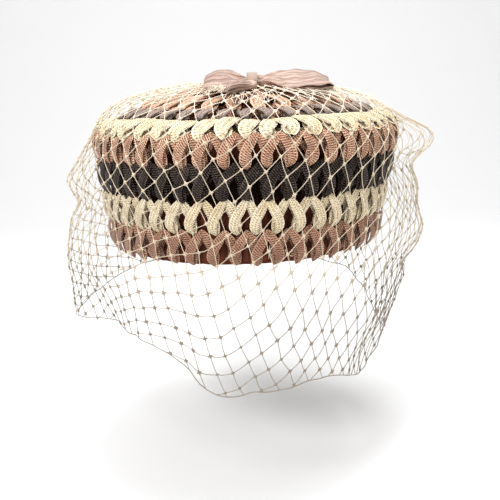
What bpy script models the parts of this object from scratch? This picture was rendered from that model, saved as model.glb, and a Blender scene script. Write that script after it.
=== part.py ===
"""Pillbox hat of zigzag ribbon braid rows, with a flat satin bow and a draped net veil.

Metres, +Z up. The front of the hat faces -Y. The origin is the middle of the rim plane,
where a head sits in the hat.
"""
import math

import bmesh
import bpy

# Overall sizes of the hat
CROWN_RADIUS = 0.1015
CROWN_HEIGHT = 0.100
OVAL = 1.04
LEAN_SHARE = 0.038
ROW_THICK = 0.0085
ROW_GAP_SHARE = 0.013
CLOTH_THICK = 0.0015
CLOTH_CLEAR = 0.0008
CLOTH_STEPS = 32
# points of PROFILE that the cap follows above the rim
CLOTH_POINTS = (2, 4, 5, 7, 9)
WELD = 0.000001

# Overall sizes of the bow and the veil
BOW_WIDTH = 0.0785
BOW_X = 0.0078
BOW_Y = -0.040
BOW_LIFT = 0.0026
RIBBON_WIDTH = 0.036
RIBBON_THICK = 0.0010
VEIL_COLUMNS = 17
VEIL_THICK = 0.0012
STRAND = 0.0030

# Outer profile of the braid, from the rim to the crown's middle
# columns: radius as a share of CROWN_RADIUS, height as a share of CROWN_HEIGHT
PROFILE = (
    (0.893, 0.015),
    (0.920, 0.197),
    (0.951, 0.388),
    (0.978, 0.578),
    (0.996, 0.768),
    (0.835, 0.850),
    (0.705, 0.905),
    (0.470, 0.975),
    (0.256, 1.023),
    (0.000, 1.042),
)
BOW_Z = PROFILE[-1][1] * CROWN_HEIGHT + BOW_LIFT

# Rows of braid, each between one point of PROFILE and the next
# columns: name, material, loops round the hat
ROWS = (
    ("side_row_tan_low", "tan_braid", 45),
    ("side_row_ivory", "ivory_braid", 47),
    ("side_row_brown", "brown_braid", 48),
    ("side_row_tan_high", "tan_braid", 50),
    ("shoulder_row_ivory", "ivory_braid", 48),
    ("crown_ring_brown", "brown_braid", 38),
    ("crown_ring_tan", "tan_braid", 29),
    ("crown_inner_tan", "tan_braid", 19),
)
CENTRE_LOOPS = 12

# Section of a braid row where a loop's head stands proud, and half a loop on
# columns: share along the row's width, share of the thickness inwards
HEAD_SECTION = (
    (0.50, 1.00),
    (0.10, 0.62),
    (0.26, 0.16),
    (0.74, -0.04),
    (1.0 - ROW_GAP_SHARE, 0.45),
)
FOOT_SECTION = (
    (0.50, 1.00),
    (ROW_GAP_SHARE, 0.45),
    (0.26, -0.04),
    (0.74, 0.16),
    (0.90, 0.62),
)

# Crown centre, from the underside's middle to the top
# columns: radius as a share of the hole left by the rows, share of the thickness inwards, lobe
CENTRE_SECTION = (
    (0.00, 0.95, 0.0),
    (0.45, 0.95, 0.0),
    (0.86, 0.80, 0.3),
    (0.965, 0.45, 1.0),
    (0.80, 0.02, 1.0),
    (0.45, 0.10, 0.5),
    (0.00, 0.05, 0.0),
)
CENTRE_LOBE_SHARE = 0.12

# Veil surface at each turn from the front, positive towards +X
# columns: turn in degrees, then radius as a share of CROWN_RADIUS and height as a share of
# CROWN_HEIGHT for the crown, edge, shoulder, side, rim and hem lines
VEIL_FOLDS = (
    (0, 0.48, 1.006, 0.890, 0.905, 1.045, 0.700, 1.000, 0.320, 0.985, -0.090, 0.955, -0.740),
    (30, 0.48, 1.006, 0.890, 0.905, 1.045, 0.700, 1.005, 0.320, 0.985, -0.090, 0.945, -0.710),
    (60, 0.48, 1.010, 0.905, 0.905, 1.065, 0.690, 1.045, 0.310, 1.015, -0.120, 0.900, -0.840),
    (90, 0.49, 1.004, 0.940, 0.900, 1.215, 0.660, 1.150, 0.280, 1.160, -0.030, 0.930, -0.660),
    (135, 0.49, 1.012, 0.900, 0.915, 1.100, 0.690, 1.100, 0.320, 1.100, 0.000, 1.000, -0.400),
    (180, 0.49, 1.015, 0.890, 0.920, 1.050, 0.700, 1.025, 0.380, 1.010, 0.080, 0.985, -0.180),
    (225, 0.49, 1.018, 0.890, 0.920, 1.070, 0.700, 1.080, 0.350, 1.090, 0.020, 1.030, -0.320),
    (270, 0.46, 1.032, 0.860, 0.925, 1.065, 0.700, 1.150, 0.380, 1.210, -0.050, 1.140, -0.500),
    (300, 0.48, 1.014, 0.880, 0.915, 1.050, 0.700, 1.045, 0.330, 1.040, -0.030, 0.930, -0.430),
    (330, 0.48, 1.006, 0.890, 0.905, 1.045, 0.700, 1.005, 0.320, 0.985, -0.080, 0.945, -0.560),
)
GATHER_RADIUS_SHARE = 0.14
GATHER_HEIGHT_SHARE = 1.044
# how far down from the rim line to the hem line the face line lies
FACE_SHARE = 0.47

# Ribbon paths of the bow, from the knot outwards over the top and back underneath
# columns: reach from the knot and rise, as shares of BOW_WIDTH, spread as a share of RIBBON_WIDTH
LEFT_LOOP = (
    (-0.015, 0.014, 0.26),
    (-0.070, 0.022, 0.42),
    (-0.175, 0.038, 0.90),
    (-0.280, 0.044, 1.00),
    (-0.346, 0.034, 1.00),
    (-0.373, 0.014, 1.00),
    (-0.358, -0.006, 1.00),
    (-0.280, -0.018, 0.98),
    (-0.175, -0.018, 0.88),
    (-0.070, -0.013, 0.42),
    (-0.015, -0.010, 0.26),
)
RIGHT_LOOP = (
    (0.015, 0.014, 0.26),
    (0.085, 0.022, 0.42),
    (0.250, 0.036, 0.90),
    (0.410, 0.032, 1.00),
    (0.540, 0.004, 1.00),
    (0.604, -0.046, 0.96),
    (0.580, -0.078, 0.94),
    (0.460, -0.066, 0.96),
    (0.275, -0.038, 0.86),
    (0.085, -0.014, 0.42),
    (0.015, -0.010, 0.26),
)
TAIL_LOOP = (
    (0.020, -0.056, 0.18),
    (-0.040, -0.054, 0.28),
    (-0.110, -0.064, 0.42),
    (-0.165, -0.084, 0.46),
    (-0.187, -0.108, 0.46),
    (-0.165, -0.124, 0.46),
    (-0.105, -0.100, 0.42),
    (-0.040, -0.084, 0.28),
    (0.020, -0.070, 0.18),
)
# columns: share of the knot's half depth, share of its half height
KNOT_RING = (
    (-1.00, 0.00),
    (-0.86, 0.66),
    (-0.40, 1.00),
    (0.40, 1.00),
    (0.86, 0.66),
    (1.00, 0.00),
    (0.86, -0.66),
    (0.40, -1.00),
    (-0.40, -1.00),
    (-0.86, -0.66),
)
KNOT_WIDTH = BOW_WIDTH * 0.080
KNOT_HALF_DEPTH = RIBBON_WIDTH * 0.31
KNOT_HALF_HEIGHT = BOW_WIDTH * 0.041
KNOT_LIFT = BOW_WIDTH * -0.003
# columns: share of the knot's width, swell of its ring
KNOT_SWELL = ((-0.5, 0.94), (0.0, 1.0), (0.5, 0.94))
LOOP_TILT_SHARE = 0.22
TAIL_TILT_SHARE = 0.20
TAIL_FORWARD = RIBBON_WIDTH * 0.52
TAIL_SLANT_SHARE = 0.85
# columns: share across the ribbon, crest of its lengthwise folds as a share of BOW_WIDTH
RIBBON_FOLDS = ((-0.5, 0.0), (-0.2, 0.010), (0.15, -0.006), (0.5, 0.004))

# columns: name, base colour, roughness
MATERIALS = (
    ("tan_braid", (0.48, 0.24, 0.14), 0.55),
    ("ivory_braid", (0.76, 0.66, 0.46), 0.55),
    ("brown_braid", (0.045, 0.030, 0.028), 0.50),
    ("cap_cloth", (0.16, 0.09, 0.075), 0.75),
    ("rose_satin", (0.60, 0.38, 0.32), 0.35),
    ("veil_net", (0.66, 0.56, 0.40), 0.70),
)


def make_material(name, colour, roughness):
    """A plain Principled material."""
    material = bpy.data.materials.new(name)
    material.use_nodes = True
    shader = material.node_tree.nodes["Principled BSDF"]
    shader.inputs["Base Color"].default_value = (*colour, 1.0)
    shader.inputs["Roughness"].default_value = roughness
    return material


def place(radius, height, angle):
    """A point of the hat at a radius, a height and an angle about +Z."""
    x = radius * math.cos(angle) + LEAN_SHARE * height
    y = radius * OVAL * math.sin(angle)
    return (x, y, height)


def profile_points():
    """The outer profile in metres, as pairs of radius and height."""
    return [(radius * CROWN_RADIUS, height * CROWN_HEIGHT) for radius, height in PROFILE]


def offset_profile(depth):
    """The outer profile moved inwards by a depth, with mitred corners."""
    points = profile_points()
    steps = []
    for start, end in zip(points, points[1:]):
        run = math.dist(start, end)
        steps.append(((end[0] - start[0]) / run, (end[1] - start[1]) / run))
    rim_step = steps[0]
    far_side_step = (steps[-1][0], -steps[-1][1])
    moved = []
    for (radius, height), before, after in zip(points, [rim_step] + steps, steps + [far_side_step]):
        along = (before[0] + after[0], before[1] + after[1])
        size = math.hypot(*along)
        along = (along[0] / size, along[1] / size)
        spread = depth / (along[0] * after[0] + along[1] * after[1])
        moved.append((radius - along[1] * spread, height + along[0] * spread))
    return moved


def blend(first, second, share):
    """The point a share of the way from one point to another."""
    return tuple(a + (b - a) * share for a, b in zip(first, second))


def section_point(outer, inner, index, along, deep):
    """A point of one row's section, from shares along its width and into its thickness."""
    face = blend(outer[index], outer[index + 1], along)
    back = blend(inner[index], inner[index + 1], along)
    return blend(face, back, deep)


def wrapped_grid(name, around, along, locate, material, collection):
    """A closed or open surface: a grid whose points are placed by locate(column, point)."""
    tool = bmesh.new()
    bmesh.ops.create_grid(tool, x_segments=around, y_segments=along, size=1.0)
    for vertex in tool.verts:
        column = round((vertex.co.x + 1.0) / 2.0 * around)
        point = round((vertex.co.y + 1.0) / 2.0 * along)
        vertex.co = locate(column, point)
    bmesh.ops.remove_doubles(tool, verts=tool.verts, dist=WELD)
    bmesh.ops.recalc_face_normals(tool, faces=tool.faces)
    return finish_object(name, tool, material, collection)


def finish_object(name, tool, material, collection):
    """Turn a bmesh into an object of the hat's collection."""
    mesh = bpy.data.meshes.new(name)
    tool.to_mesh(mesh)
    tool.free()
    mesh.materials.append(material)
    obj = bpy.data.objects.new(name, mesh)
    collection.objects.link(obj)
    return obj


def make_row(index, material, collection):
    """One closed row of braid with two sections to each loop."""
    name, _, loops = ROWS[index]
    outer = profile_points()
    inner = offset_profile(ROW_THICK)

    def locate(column, point):
        section = FOOT_SECTION if column % 2 else HEAD_SECTION
        along, deep = section[point % len(section)]
        radius, height = section_point(outer, inner, index, along, deep)
        return place(radius, height, math.pi * column / loops)

    return wrapped_grid(name, loops * 2, len(HEAD_SECTION), locate, material, collection)


def make_centre(material, collection):
    """The lobed middle of the crown, closed above and below."""
    outer = profile_points()
    inner = offset_profile(ROW_THICK)

    def locate(column, point):
        share, deep, lobe = CENTRE_SECTION[point]
        sunk = deep + CENTRE_LOBE_SHARE * lobe * (column % 2)
        radius, height = section_point(outer, inner, len(ROWS), 1.0 - share, sunk)
        return place(radius, height, math.pi * column / CENTRE_LOOPS)

    steps = len(CENTRE_SECTION) - 1
    return wrapped_grid("crown_centre", CENTRE_LOOPS * 2, steps, locate, material, collection)


def make_foundation(material, collection):
    """The cloth cap under the braid, open at the rim."""
    line = offset_profile(ROW_THICK + CLOTH_CLEAR + CLOTH_THICK / 2.0)
    path = [(line[0][0], 0.0)] + [line[index] for index in CLOTH_POINTS]

    def locate(column, point):
        radius, height = path[point]
        return place(radius, height, math.tau * column / CLOTH_STEPS)

    cap = wrapped_grid("foundation_cap", CLOTH_STEPS, len(path) - 1, locate, material, collection)
    add_thickness(cap, CLOTH_THICK)
    return cap


def veil_line(turn):
    """The veil's radius and height at each level, at one turn from the front."""
    turns = [row[0] for row in VEIL_FOLDS] + [360]
    turn = turn % 360
    index = max(i for i, value in enumerate(turns[:-1]) if value <= turn)
    share = (turn - turns[index]) / (turns[index + 1] - turns[index])
    share = share * share * (3.0 - 2.0 * share)
    row = blend(VEIL_FOLDS[index][1:], VEIL_FOLDS[(index + 1) % len(VEIL_FOLDS)][1:], share)
    line = [(GATHER_RADIUS_SHARE * CROWN_RADIUS, GATHER_HEIGHT_SHARE * CROWN_HEIGHT)]
    for radius, height in zip(row[0::2], row[1::2]):
        line.append((radius * CROWN_RADIUS, height * CROWN_HEIGHT))
    line.insert(-1, blend(line[-2], line[-1], FACE_SHARE))
    return line


def make_veil(material, collection):
    """The net veil: diamonds cut through between strands, gathered solid at the top."""
    levels = len(veil_line(0.0))
    step = 360.0 / VEIL_COLUMNS
    vertices = []
    for level in range(levels):
        for column in range(VEIL_COLUMNS):
            turn = (column + 0.5 * (level % 2)) * step
            radius, height = veil_line(turn)[level]
            vertices.append(place(radius, height, math.radians(turn - 90.0)))

    def at(level, column):
        return level * VEIL_COLUMNS + column % VEIL_COLUMNS

    open_faces = []
    for level in range(1, levels - 1):
        shift = level % 2
        for column in range(VEIL_COLUMNS):
            open_faces.append((
                at(level - 1, column + shift),
                at(level, column),
                at(level + 1, column + shift),
                at(level, column + 1),
            ))
    last = levels - 1
    for column in range(VEIL_COLUMNS):
        left = column - last % 2
        open_faces.append((at(last - 1, column), at(last, left), at(last, left + 1)))
    shut_faces = []
    for column in range(VEIL_COLUMNS):
        shut_faces.append((at(0, column), at(1, column), at(0, column + 1)))

    tool = bmesh.new()
    points = [tool.verts.new(vertex) for vertex in vertices]
    gaps = [tool.faces.new([points[index] for index in face]) for face in open_faces]
    for face in shut_faces:
        tool.faces.new([points[index] for index in face])
    bmesh.ops.recalc_face_normals(tool, faces=tool.faces)
    bmesh.ops.inset_individual(tool, faces=gaps, thickness=STRAND / 2.0)
    bmesh.ops.delete(tool, geom=gaps, context="FACES_ONLY")
    obj = finish_object("veil", tool, material, collection)
    add_thickness(obj, VEIL_THICK)
    return obj


def add_thickness(obj, thickness):
    """Give a sheet its thickness, half on each side."""
    solidify = obj.modifiers.new("thickness", "SOLIDIFY")
    solidify.thickness = thickness
    solidify.offset = 0.0
    solidify.use_even_offset = False


def make_band(name, rows, material, collection):
    """A closed band of ribbon. Each row holds the points across the ribbon."""
    columns = len(rows[0]) - 1

    def locate(step, column):
        return rows[step % len(rows)][column]

    band = wrapped_grid(name, len(rows), columns, locate, material, collection)
    add_thickness(band, RIBBON_THICK)
    return band


def loop_rows(table, forward, slant, tilt):
    """Points across the ribbon at each step of a bow loop's path."""
    rows = []
    for reach, rise, spread in table:
        row = []
        for share, crest in RIBBON_FOLDS:
            across = share * spread * RIBBON_WIDTH
            x = BOW_X + reach * BOW_WIDTH
            y = BOW_Y - forward - slant * abs(reach) * BOW_WIDTH + across
            z = BOW_Z + (rise + crest * spread) * BOW_WIDTH + tilt * across
            row.append((x, y, z))
        rows.append(row)
    return rows


def knot_rows():
    """Points across the knot's band at each step round it."""
    rows = []
    for depth, height in KNOT_RING:
        row = []
        for share, swell in KNOT_SWELL:
            y = depth * KNOT_HALF_DEPTH * swell
            z = height * KNOT_HALF_HEIGHT * swell + LOOP_TILT_SHARE * y + KNOT_LIFT
            row.append((BOW_X + share * KNOT_WIDTH, BOW_Y + y, BOW_Z + z))
        rows.append(row)
    return rows


def make_bow(material, collection):
    """The two loops, the short folded end and the knot round the middle."""
    left = loop_rows(LEFT_LOOP, 0.0, 0.0, LOOP_TILT_SHARE)
    right = loop_rows(RIGHT_LOOP, 0.0, 0.0, LOOP_TILT_SHARE)
    tail = loop_rows(TAIL_LOOP, TAIL_FORWARD, TAIL_SLANT_SHARE, TAIL_TILT_SHARE)
    make_band("bow_loop_left", left, material, collection)
    make_band("bow_loop_right", right, material, collection)
    make_band("bow_tail", tail, material, collection)
    make_band("bow_knot", knot_rows(), material, collection)


def build():
    """Clear the file and build every piece of the hat."""
    for obj in list(bpy.data.objects):
        bpy.data.objects.remove(obj)
    collection = bpy.data.collections.new("pillbox_hat")
    bpy.context.scene.collection.children.link(collection)
    materials = {}
    for name, colour, roughness in MATERIALS:
        materials[name] = make_material(name, colour, roughness)
    make_foundation(materials["cap_cloth"], collection)
    for index, (_, slot, _) in enumerate(ROWS):
        make_row(index, materials[slot], collection)
    make_centre(materials["tan_braid"], collection)
    make_bow(materials["rose_satin"], collection)
    make_veil(materials["veil_net"], collection)


build()
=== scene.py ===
"""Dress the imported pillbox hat: zigzag ribbon braid, cloth cap, satin bow and net veil."""
from __future__ import annotations

import logging
import math
import random
from dataclasses import dataclass
from enum import Enum
from typing import Any, Callable, Sequence

import bmesh
import bpy
from mathutils import Matrix, Vector, noise


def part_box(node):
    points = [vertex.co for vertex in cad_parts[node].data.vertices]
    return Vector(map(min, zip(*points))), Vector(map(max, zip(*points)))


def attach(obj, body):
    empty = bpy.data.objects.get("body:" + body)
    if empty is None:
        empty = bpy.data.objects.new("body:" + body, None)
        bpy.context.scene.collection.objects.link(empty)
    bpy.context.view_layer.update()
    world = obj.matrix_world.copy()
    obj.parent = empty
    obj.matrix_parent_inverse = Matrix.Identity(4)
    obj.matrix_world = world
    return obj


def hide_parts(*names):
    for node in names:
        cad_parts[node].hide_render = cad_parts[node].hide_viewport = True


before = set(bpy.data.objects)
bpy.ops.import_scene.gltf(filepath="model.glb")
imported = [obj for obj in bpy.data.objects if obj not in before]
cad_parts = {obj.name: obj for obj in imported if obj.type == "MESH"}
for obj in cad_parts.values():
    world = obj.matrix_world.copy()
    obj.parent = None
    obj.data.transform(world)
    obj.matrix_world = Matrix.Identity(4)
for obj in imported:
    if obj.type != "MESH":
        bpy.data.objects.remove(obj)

LOG = logging.getLogger("pillbox_hat")
Pair = tuple[float, float]
Triple = tuple[float, float, float]
Surface = Callable[[float, float], Vector]

# Outer profile of the braid, from the rim to the crown's middle
# columns: radius as a share of the crown radius, height as a share of the crown height
PROFILE: tuple[Pair, ...] = (
    (0.893, 0.015),
    (0.920, 0.197),
    (0.951, 0.388),
    (0.978, 0.578),
    (0.996, 0.768),
    (0.835, 0.850),
    (0.705, 0.905),
    (0.470, 0.975),
    (0.256, 1.023),
    (0.000, 1.042),
)

# Veil surface at each turn from the front, positive towards +X
# columns: turn in degrees, then radius and height as shares of the crown's for the crown,
# edge, shoulder, side, rim and hem lines
VEIL_FOLDS: tuple[tuple[float, ...], ...] = (
    (0, 0.48, 1.006, 0.890, 0.905, 1.045, 0.700, 1.000, 0.320, 0.985, -0.090, 0.955, -0.740),
    (30, 0.48, 1.006, 0.890, 0.905, 1.045, 0.700, 1.005, 0.320, 0.985, -0.090, 0.945, -0.710),
    (60, 0.48, 1.010, 0.905, 0.905, 1.065, 0.690, 1.045, 0.310, 1.015, -0.120, 0.900, -0.840),
    (90, 0.49, 1.004, 0.940, 0.900, 1.215, 0.660, 1.150, 0.280, 1.160, -0.030, 0.930, -0.660),
    (135, 0.49, 1.012, 0.900, 0.915, 1.100, 0.690, 1.100, 0.320, 1.100, 0.000, 1.000, -0.400),
    (180, 0.49, 1.015, 0.890, 0.920, 1.050, 0.700, 1.025, 0.380, 1.010, 0.080, 0.985, -0.180),
    (225, 0.49, 1.018, 0.890, 0.920, 1.070, 0.700, 1.080, 0.350, 1.090, 0.020, 1.030, -0.320),
    (270, 0.46, 1.032, 0.860, 0.925, 1.065, 0.700, 1.150, 0.380, 1.210, -0.050, 1.140, -0.500),
    (300, 0.48, 1.014, 0.880, 0.915, 1.050, 0.700, 1.045, 0.330, 1.040, -0.030, 0.930, -0.430),
    (330, 0.48, 1.006, 0.890, 0.905, 1.045, 0.700, 1.005, 0.320, 0.985, -0.080, 0.945, -0.560),
)

# Puffs and pinches of the veil's sides, on top of the folds
# columns: turn in degrees, its spread, height and its spread in metres, how far out in metres
VEIL_PUFFS: tuple[tuple[float, ...], ...] = (
    (275, 40, 0.074, 0.014, -0.0050),
    (90, 40, 0.087, 0.010, -0.0110),
    (90, 34, 0.077, 0.006, -0.0045),
    (58, 16, -0.072, 0.022, -0.0070),
    (272, 30, 0.045, 0.008, 0.0050),
    (272, 30, 0.028, 0.007, -0.0045),
    (90, 26, 0.067, 0.008, 0.0030),
    (88, 34, 0.047, 0.009, -0.0090),
    (88, 30, 0.006, 0.010, 0.0035),
    (86, 30, -0.016, 0.007, -0.0040),
    (60, 18, 0.052, 0.012, -0.0030),
    (180, 25, 0.030, 0.015, -0.0030),
)

# Where the hem hangs higher or lower than its fold
# columns: turn in degrees, its spread, lift in metres
HEM_LIFTS: tuple[Triple, ...] = (
    (324.0, 11.0, 0.0095),
    (350.0, 8.0, -0.0045),
)

# Where the net is pulled together into a bundle of threads
# columns: along and down the strip at the bundle's start, the same at its end, how strongly it
# is pulled at the start and at the end, and how far off the pull reaches, in metres
VEIL_PULLS: tuple[tuple[float, ...], ...] = (
    (0.528, 0.132, 0.440, 0.160, 0.80, 0.25, 0.020),
    (0.528, 0.132, 0.590, 0.150, 0.80, 0.20, 0.016),
    (0.170, 0.110, 0.230, 0.118, 0.55, 0.10, 0.018),
    (0.555, 0.175, 0.500, 0.200, 0.60, 0.20, 0.012),
)

# Ribbon paths of the bow, from the knot outwards over the top and back underneath
# columns: reach from the knot and rise, as shares of the bow's width, spread of the ribbon
LEFT_LOOP: tuple[Triple, ...] = (
    (-0.015, 0.014, 0.26),
    (-0.070, 0.022, 0.42),
    (-0.175, 0.038, 0.90),
    (-0.280, 0.044, 1.00),
    (-0.346, 0.034, 1.00),
    (-0.373, 0.014, 1.00),
    (-0.358, -0.006, 1.00),
    (-0.280, -0.018, 0.98),
    (-0.175, -0.018, 0.88),
    (-0.070, -0.013, 0.42),
    (-0.015, -0.010, 0.26),
)
RIGHT_LOOP: tuple[Triple, ...] = (
    (0.015, 0.014, 0.26),
    (0.085, 0.022, 0.42),
    (0.250, 0.036, 0.90),
    (0.410, 0.032, 1.00),
    (0.540, 0.004, 1.00),
    (0.604, -0.046, 0.96),
    (0.580, -0.078, 0.94),
    (0.460, -0.066, 0.96),
    (0.275, -0.038, 0.86),
    (0.085, -0.014, 0.42),
    (0.015, -0.010, 0.26),
)
TAIL_LOOP: tuple[Triple, ...] = (
    (0.020, -0.056, 0.18),
    (-0.040, -0.054, 0.28),
    (-0.110, -0.064, 0.42),
    (-0.165, -0.084, 0.46),
    (-0.187, -0.108, 0.46),
    (-0.165, -0.124, 0.46),
    (-0.105, -0.100, 0.42),
    (-0.040, -0.084, 0.28),
    (0.020, -0.070, 0.18),
)
# columns: share of the knot's half depth, share of its half height
KNOT_RING: tuple[Pair, ...] = (
    (-1.00, 0.00),
    (-0.86, 0.66),
    (-0.40, 1.00),
    (0.40, 1.00),
    (0.86, 0.66),
    (1.00, 0.00),
    (0.86, -0.66),
    (0.40, -1.00),
    (-0.40, -1.00),
    (-0.86, -0.66),
)

# Studio lamps
# columns: name, place, target, size in metres, power in watts
LAMPS: tuple[tuple[str, Triple, Triple, float, float], ...] = (
    ("key_light", (-0.45, -0.80, 0.95), (0.0, 0.0, 0.04), 0.40, 14.0),
    ("fill_light", (0.9, -0.8, 0.4), (0.0, 0.0, 0.04), 0.9, 3.2),
    ("top_light", (0.10, -0.05, 0.95), (0.0, 0.0, 0.04), 0.35, 6.0),
    ("sweep_light", (0.0, 0.3, 2.2), (0.0, 1.5, 0.2), 1.2, 15.0),
)

# Heights over the rim in metres between which a colour changes: painted shade on the lowest braid row,
# painted light on the cap's cloth over the crown, painted top light on the crown's rings, painted shade on
# the veil below the rim and painted light on the veil over the crown
SHADED_ROW: Pair = (0.012, 0.026)
CROWN_CLOTH_LIT: Pair = (0.0795, 0.0815)
CROWN_RINGS_LIT: Pair = (0.083, 0.086)
VEIL_SHADED_BELOW_RIM: Pair = (-0.030, 0.008)
VEIL_LIT_ON_CROWN: Pair = (0.078, 0.094)


class BraidColour(Enum):
    """The three ribbon colours, by the record's material slot."""

    TAN = "tan_braid"
    IVORY = "ivory_braid"
    BROWN = "brown_braid"


class Signal:
    """A node's output socket, whose operators add Math nodes to its tree."""

    def __init__(self, loom: "Loom", socket: bpy.types.NodeSocket) -> None:
        """Keep the socket and the tree it belongs to."""
        self.loom = loom
        self.socket = socket

    def math(self, operation: str, *others: Any) -> "Signal":
        """Add one Math node, with numbers or signals for its other sockets."""
        node = self.loom.add("ShaderNodeMath", dict(enumerate((self, *others))), operation=operation)
        return Signal(self.loom, node.outputs[0])

    def __add__(self, other: Any) -> "Signal":
        """Add."""
        return self.math("ADD", other)

    __radd__ = __add__

    def __mul__(self, other: Any) -> "Signal":
        """Multiply."""
        return self.math("MULTIPLY", other)

    __rmul__ = __mul__

    def __sub__(self, other: Any) -> "Signal":
        """Subtract."""
        return self.math("SUBTRACT", other)

    def __rsub__(self, other: Any) -> "Signal":
        """Subtract this from a number."""
        return (self * -1.0) + other

    def __truediv__(self, other: Any) -> "Signal":
        """Divide."""
        return self.math("DIVIDE", other)

    def __pow__(self, other: Any) -> "Signal":
        """Raise to a power."""
        return self.math("POWER", other)

    def wave(self, length: float) -> "Signal":
        """A sine of this value with the given wavelength."""
        return (self * (math.tau / length)).math("SINE")

    def size(self) -> "Signal":
        """The absolute value."""
        return self.math("ABSOLUTE")

    def at_most(self, other: Any) -> "Signal":
        """The smaller of this and another."""
        return self.math("MINIMUM", other)


class Loom:
    """Adds nodes to a shader tree or a geometry tree."""

    def __init__(self, tree: bpy.types.NodeTree) -> None:
        """Keep the tree."""
        self.tree = tree

    def add(self, kind: str, sockets: dict[Any, Any] | None = None, **settings: Any) -> bpy.types.Node:
        """Add a node of any kind.

        Args:
            kind: the node's type name.
            sockets: what feeds its inputs, by name or number.
            settings: its settings, set first; "stops" are a ramp's stops and "capture" is the
                number that a Capture Attribute node holds.

        Returns:
            The new node.
        """
        node = self.tree.nodes.new(kind)
        for name, value in settings.items():
            if name == "stops":
                self.set_stops(node, value)
            elif name == "capture":
                node.capture_items.new("FLOAT", value)
            else:
                setattr(node, name, value)
        for name, value in (sockets or {}).items():
            self.feed(node.inputs[name], value)
        return node

    @staticmethod
    def set_stops(node: bpy.types.Node, stops: Sequence[tuple[float, Triple]]) -> None:
        """Give a Color Ramp its stops."""
        elements = node.color_ramp.elements
        while len(elements) > 1:
            elements.remove(elements[-1])
        for index, (place, colour) in enumerate(stops):
            element = elements[0] if index == 0 else elements.new(place)
            element.position = place
            element.color = (*colour, 1.0)

    def feed(self, target: bpy.types.NodeSocket, value: Any) -> None:
        """Link a signal, a socket or a node's first output to an input, or set its value."""
        if isinstance(value, bpy.types.Node):
            value = value.outputs[0]
        if isinstance(value, Signal):
            value = value.socket
        if isinstance(value, bpy.types.NodeSocket):
            self.tree.links.new(value, target)
        else:
            target.default_value = value

    def signal(self, node: bpy.types.Node, output: Any = 0) -> Signal:
        """Wrap one of a node's outputs."""
        return Signal(self, node.outputs[output])


class Paint(Loom):
    """A new material's tree, with the patterns that the finishes share."""

    def __init__(self, name: str) -> None:
        """Start the material."""
        self.material = bpy.data.materials.new(name)
        self.material.use_nodes = True
        super().__init__(self.material.node_tree)
        self.shader = self.tree.nodes["Principled BSDF"]

    def mix(self, share: Any, first: Any, second: Any) -> Any:
        """Mix two colours.

        Args:
            share: how much of the second colour there is.
            first: a colour, or the node or socket of one.
            second: the same for the other colour.

        Returns:
            The result's socket.
        """
        node = self.add("ShaderNodeMix", data_type="RGBA")
        for index, value in ((0, share), (6, first), (7, second)):
            self.feed(node.inputs[index], (*value, 1.0) if isinstance(value, tuple) else value)
        return node.outputs[2]

    def chart(self, name: str) -> tuple[Signal, Signal]:
        """The two coordinates of the piece's own map, in metres."""
        split = self.add("ShaderNodeSeparateXYZ", {0: self.add("ShaderNodeUVMap", uv_map=name)})
        return self.signal(split, 0), self.signal(split, 1)

    def where(self) -> bpy.types.NodeSocket:
        """The place on the piece, in metres."""
        return self.add("ShaderNodeTexCoord").outputs["Object"]

    def axis(self, index: int) -> Signal:
        """One coordinate of the place on the piece."""
        return self.signal(self.add("ShaderNodeSeparateXYZ", {0: self.where()}), index)

    def rising(self, band: Pair) -> Signal:
        """A share that eases from 0 to 1 between two heights."""
        sockets = {"Value": self.axis(2), "From Min": band[0], "From Max": band[1]}
        return self.signal(self.add("ShaderNodeMapRange", sockets, interpolation_type="SMOOTHSTEP"))

    def clouds(self, scale: float, detail: float = 3.0) -> Signal:
        """Noise from 0 to 1 over the piece."""
        sockets = {"Vector": self.where(), "Scale": scale, "Detail": detail}
        return self.signal(self.add("ShaderNodeTexNoise", sockets))

    def finish(
        self,
        colour: Any,
        roughness: Any,
        height: Signal | None = None,
        relief: float = 0.0,
        **constants: float,
    ) -> bpy.types.Material:
        """Feed the shader.

        Args:
            colour: the node or socket of the base colour.
            roughness: a number or a signal.
            height: the pattern that stands out in relief, if any.
            relief: how far it stands out, in metres.
            constants: other inputs of the shader, with underscores for spaces.

        Returns:
            The material.
        """
        inputs = self.shader.inputs
        self.feed(inputs["Base Color"], colour)
        self.feed(inputs["Roughness"], roughness)
        if height is not None:
            bump = self.add("ShaderNodeBump", {"Height": height, "Distance": relief, "Strength": 1.0})
            self.feed(inputs["Normal"], bump)
        for name, value in constants.items():
            inputs[name.replace("_", " ")].default_value = value
        return self.material


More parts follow.
